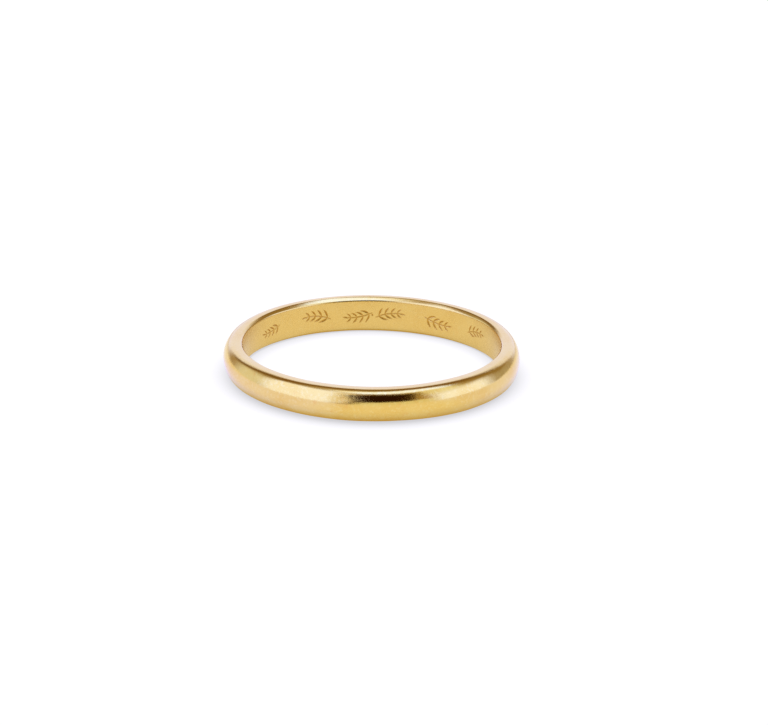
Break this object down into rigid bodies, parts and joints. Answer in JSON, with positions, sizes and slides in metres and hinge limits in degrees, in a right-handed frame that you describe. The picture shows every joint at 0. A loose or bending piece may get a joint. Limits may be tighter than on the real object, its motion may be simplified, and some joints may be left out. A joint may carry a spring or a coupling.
{
  "type": "wedding band",
  "caption": "Slim plain finger ring with a domed outside, rounded shoulders, narrow flat rims and a straight bore for a finger.",
  "frame": {"origin": "centre of the lower rim's plane, on the ring's axis: the middle of the bottom of its box", "axes": "+Z along the ring's axis, up when the band lies flat; +X and +Y are equal directions across the ring"},
  "size_m": [0.0198, 0.0198, 0.0024],
  "materials": {
    "gold": "polished"
  },
  "bodies": {
    "root": {"band": "gold"}
  },
  "joints": []
}
